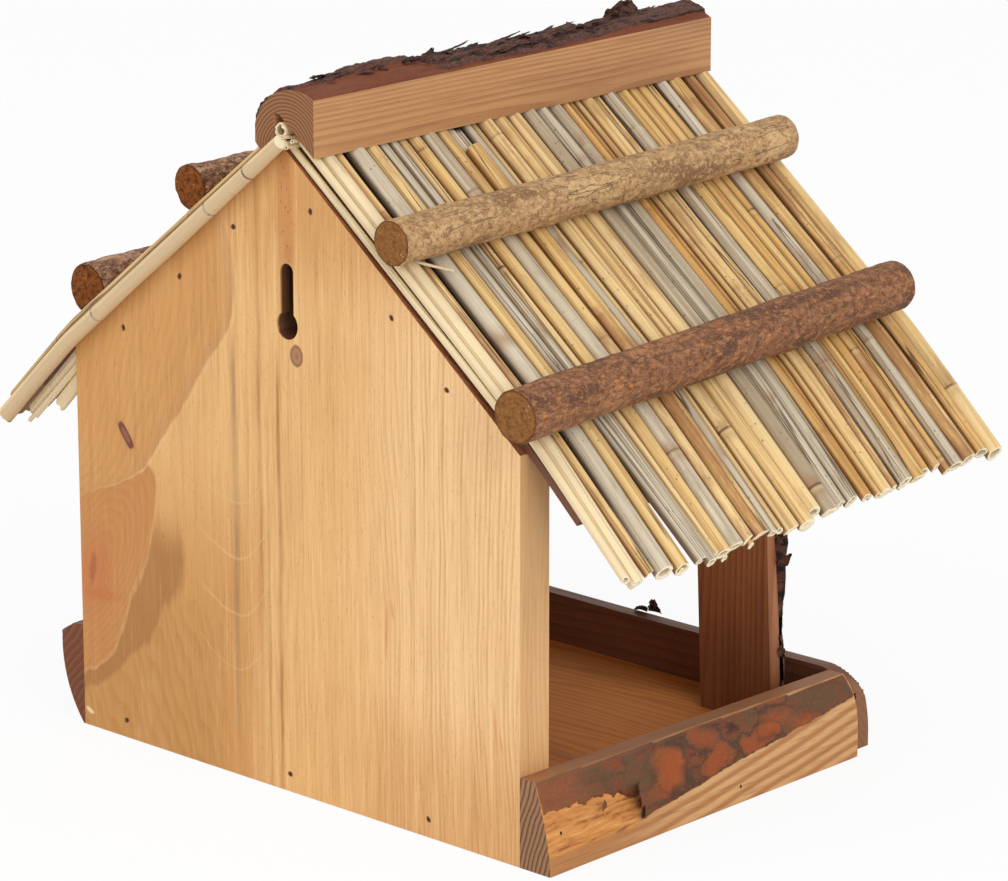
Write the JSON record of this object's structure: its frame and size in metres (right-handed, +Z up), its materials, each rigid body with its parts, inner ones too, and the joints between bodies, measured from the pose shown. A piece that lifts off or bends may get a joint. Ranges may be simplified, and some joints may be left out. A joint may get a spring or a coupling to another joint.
{
  "type": "bird feeder",
  "caption": "Hanging bird feeder: gable back board with keyhole, open front and sides, barked lips and posts, reed thatch held by rods, ridge slab.",
  "frame": {"origin": "bottom centre of the whole feeder: on the surface that it stands on, under the middle of its outline", "axes": "+Z up, +Y out of the back board's rear face (towards the wall), -Y towards the open front, +X to the right seen from the front"},
  "size_m": [0.3557, 0.2402, 0.2798],
  "materials": {
    "sawn_pine": "sawn, unstained",
    "stained_wood": "brown stain, matt",
    "stained_panel": "brown stain, matt",
    "barked_slab": "bark and waney edge",
    "hazel_bark": "thin smooth bark",
    "ridge_wood": "sawn side, barked crown",
    "reed": "dry reed, satin",
    "nail_steel": "plain steel wire"
  },
  "bodies": {
    "root": {"back_board": "sawn_pine", "floor_board": "stained_wood", "floor_brads": "nail_steel", "front_lip": "barked_slab", "front_lip_brads": "nail_steel", "left_front_post": "barked_slab", "left_lip": "barked_slab", "left_lip_brads": "nail_steel", "left_lower_rod": "hazel_bark", "left_lower_rod_nails": "nail_steel", "left_roof_batten": "stained_wood", "left_roof_panel": "stained_panel", "left_thatch_01": "reed", "left_thatch_02": "reed", "left_thatch_03": "reed", "left_thatch_04": "reed", "left_thatch_05": "reed", "left_thatch_06": "reed", "left_thatch_07": "reed", "left_thatch_08": "reed", "left_thatch_09": "reed", "left_thatch_10": "reed", "left_thatch_11": "reed", "left_thatch_12": "reed", "left_thatch_13": "reed", "left_thatch_14": "reed", "left_upper_rod": "hazel_bark", "left_upper_rod_nails": "nail_steel", "post_brads": "nail_steel", "ridge_nails": "nail_steel", "ridge_slab": "ridge_wood", "ridge_stalk": "reed", "right_front_post": "barked_slab", "right_lip": "barked_slab", "right_lip_brads": "nail_steel", "right_lower_rod": "hazel_bark", "right_lower_rod_nails": "nail_steel", "right_roof_batten": "stained_wood", "right_roof_panel": "stained_panel", "right_thatch_01": "reed", "right_thatch_02": "reed", "right_thatch_03": "reed", "right_thatch_04": "reed", "right_thatch_05": "reed", "right_thatch_06": "reed", "right_thatch_07": "reed", "right_thatch_08": "reed", "right_thatch_09": "reed", "right_thatch_10": "reed", "right_thatch_11": "reed", "right_thatch_12": "reed", "right_thatch_13": "reed", "right_thatch_14": "reed", "right_upper_rod": "hazel_bark", "right_upper_rod_nails": "nail_steel", "roof_brads": "nail_steel"}
  },
  "joints": []
}
